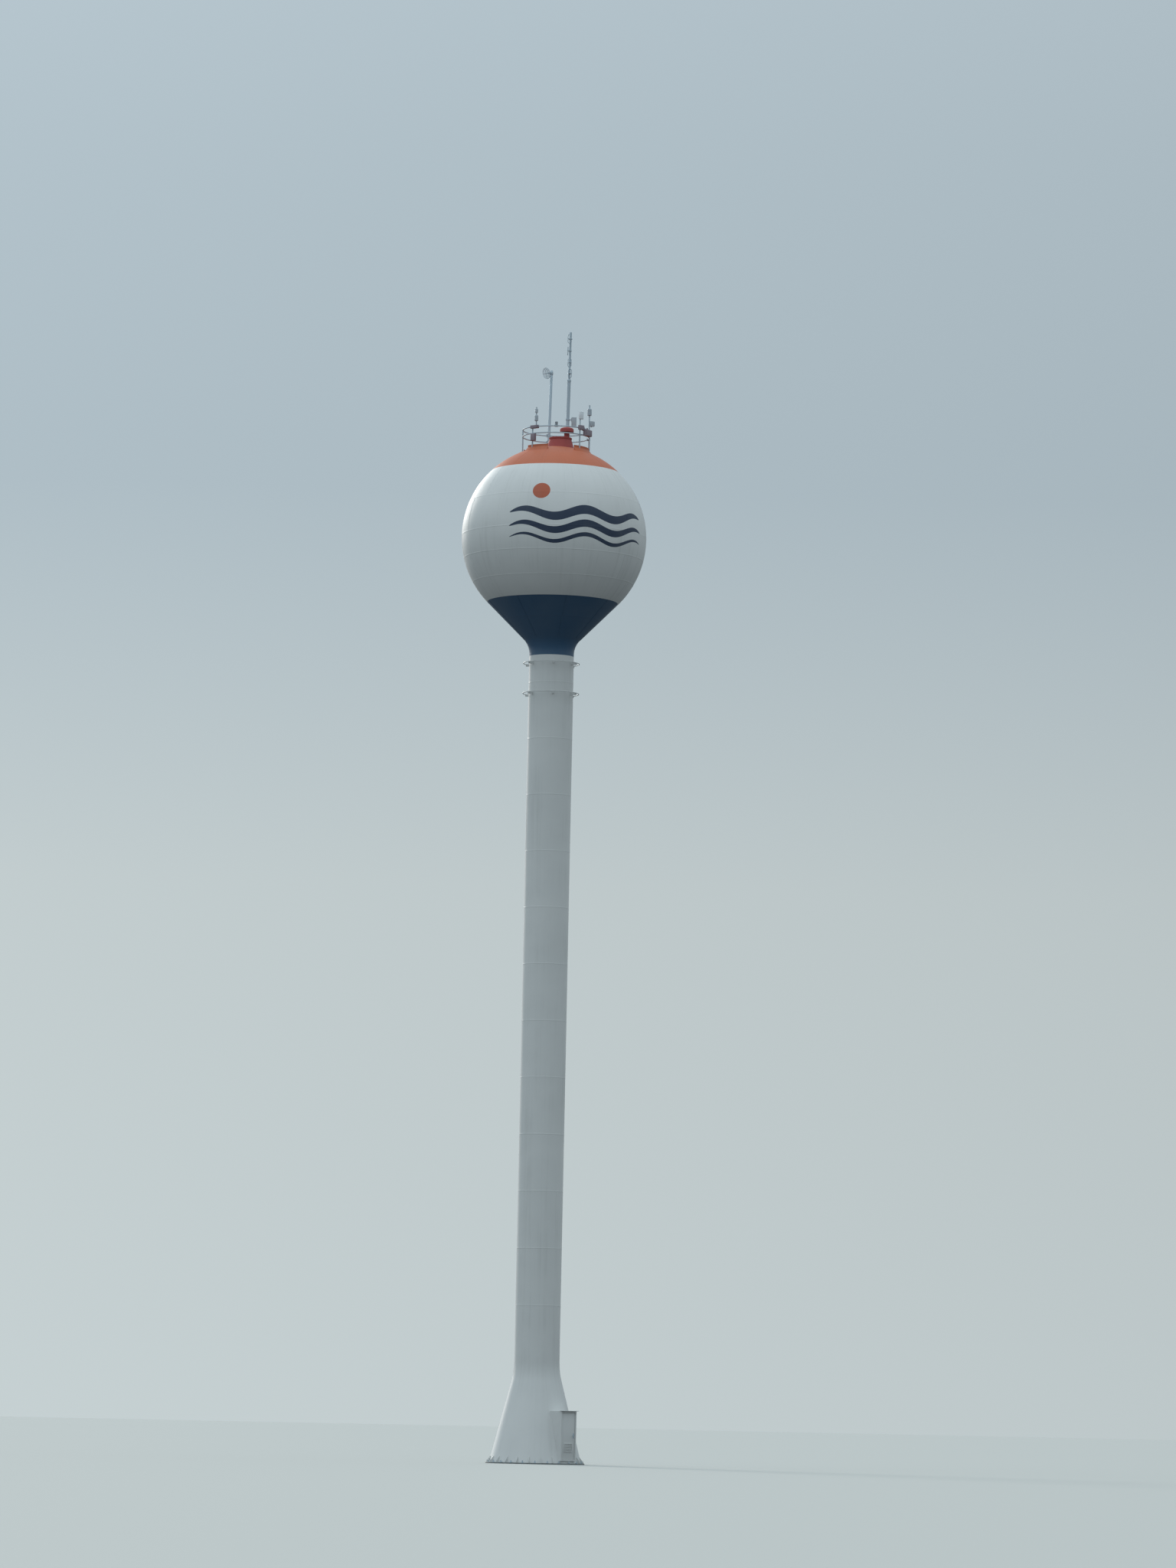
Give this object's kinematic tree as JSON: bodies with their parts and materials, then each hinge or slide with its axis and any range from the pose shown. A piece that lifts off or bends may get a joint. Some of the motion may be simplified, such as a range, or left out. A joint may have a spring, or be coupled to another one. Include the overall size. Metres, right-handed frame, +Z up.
{
  "type": "spherical water tower on a single column, 1:2 scale model",
  "caption": "Ball-shaped elevated water tank that narrows through a cone into one slender steel column with a flared base, a railed roof and aerials; half-size model.",
  "frame": {"origin": "centre of the underside of the base plate, at ground level", "axes": "+Z up along the column, -Y towards the front, +X to the right seen from the front"},
  "size_m": [4, 4, 24.595],
  "materials": {
    "white_paint": "semi-gloss, weathered",
    "orange_paint": "semi-gloss, weathered",
    "navy_paint": "semi-gloss",
    "red_brown_paint": "semi-gloss, weathered",
    "galvanised_steel": "dull zinc",
    "radio_case": "matt",
    "grey_case": "matt",
    "pale_plastic": "matt",
    "ground_steel": "matt"
  },
  "bodies": {
    "root": {"base_plate": "ground_steel", "base_shell_front_right": "white_paint", "base_shell_back_right": "white_paint", "base_shell_back_left": "white_paint", "base_shell_front_left": "white_paint", "door_frame": "white_paint", "door_leaf": "white_paint", "column_course_1": "white_paint", "column_course_2": "white_paint", "column_course_3": "white_paint", "column_course_4": "white_paint", "column_course_5": "white_paint", "painters_rail_upper": "white_paint", "painters_rail_lower": "white_paint", "neck_flare": "navy_paint", "bell_cone_front_right": "navy_paint", "bell_cone_back_right": "navy_paint", "bell_cone_back_left": "navy_paint", "bell_cone_front_left": "navy_paint", "ball_lower_front_right": "white_paint", "ball_lower_back_right": "white_paint", "ball_lower_back_left": "white_paint", "ball_lower_front_left": "white_paint", "ball_upper_front_right": "white_paint", "ball_upper_back_right": "white_paint", "ball_upper_back_left": "white_paint", "ball_upper_front_left": "white_paint", "roof_cap": "orange_paint", "handrail": "galvanised_steel", "turret_wall": "red_brown_paint", "turret_lid": "red_brown_paint", "roof_vent": "red_brown_paint", "dipole_mast": "galvanised_steel", "mast_radio": "grey_case", "dish_pole": "galvanised_steel", "grid_dish": "galvanised_steel", "left_post_box": "radio_case", "left_rail_case": "radio_case", "left_aerial": "pale_plastic", "rail_lamp": "grey_case", "right_rail_case": "radio_case", "panel_aerial": "pale_plastic", "right_cabinet": "radio_case", "outer_aerial": "galvanised_steel", "outer_radio": "grey_case"}
  },
  "joints": []
}
